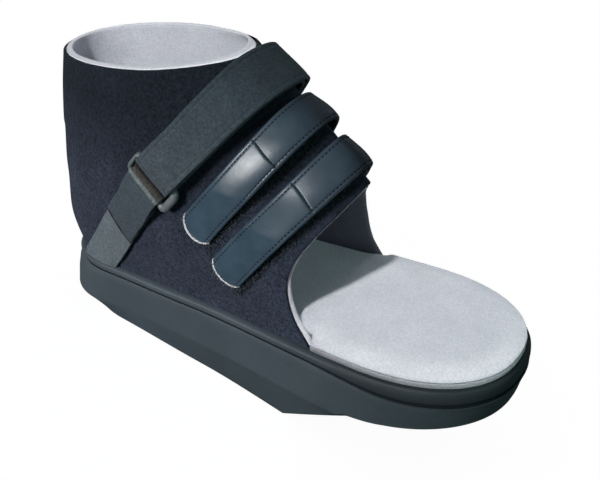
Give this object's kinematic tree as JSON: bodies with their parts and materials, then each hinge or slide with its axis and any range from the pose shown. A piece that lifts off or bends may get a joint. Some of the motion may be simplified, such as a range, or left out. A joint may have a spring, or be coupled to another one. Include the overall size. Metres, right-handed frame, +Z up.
{
  "type": "forefoot offloading shoe",
  "caption": "Open-toe therapeutic shoe on a heel-high wedge sole that keeps the forefoot off the ground, with a high felt-lined upper, instep straps and a ringed ankle strap.",
  "frame": {"origin": "on the ground, under the middle of the shoe's bounding box", "axes": "+X from the heel to the toe, +Y to the inner side of the foot, +Z up"},
  "size_m": [0.2954, 0.0978, 0.1818],
  "materials": {
    "sole_foam": "matt moulded foam, slate green",
    "insole_board": "cut foam edge, warm grey",
    "insole_felt": "brushed felt, pale lavender grey",
    "upper_velour": "brushed velour, charcoal navy",
    "lining_felt": "brushed felt, pale lavender grey",
    "strap_leather": "smooth semi-gloss, blue black",
    "ankle_webbing": "woven webbing, slate grey",
    "ring_plastic": "satin moulded, grey",
    "tab_webbing": "woven webbing, light slate grey"
  },
  "bodies": {
    "root": {"sole": "sole_foam", "insole_base": "insole_board", "insole_cover": "insole_felt", "upper": "upper_velour", "lining": "lining_felt", "instep_strap_upper": "strap_leather", "instep_strap_lower": "strap_leather", "ankle_strap": "ankle_webbing", "strap_ring": "ring_plastic", "ring_tab": "tab_webbing", "ring_tab_base": "tab_webbing"}
  },
  "joints": []
}
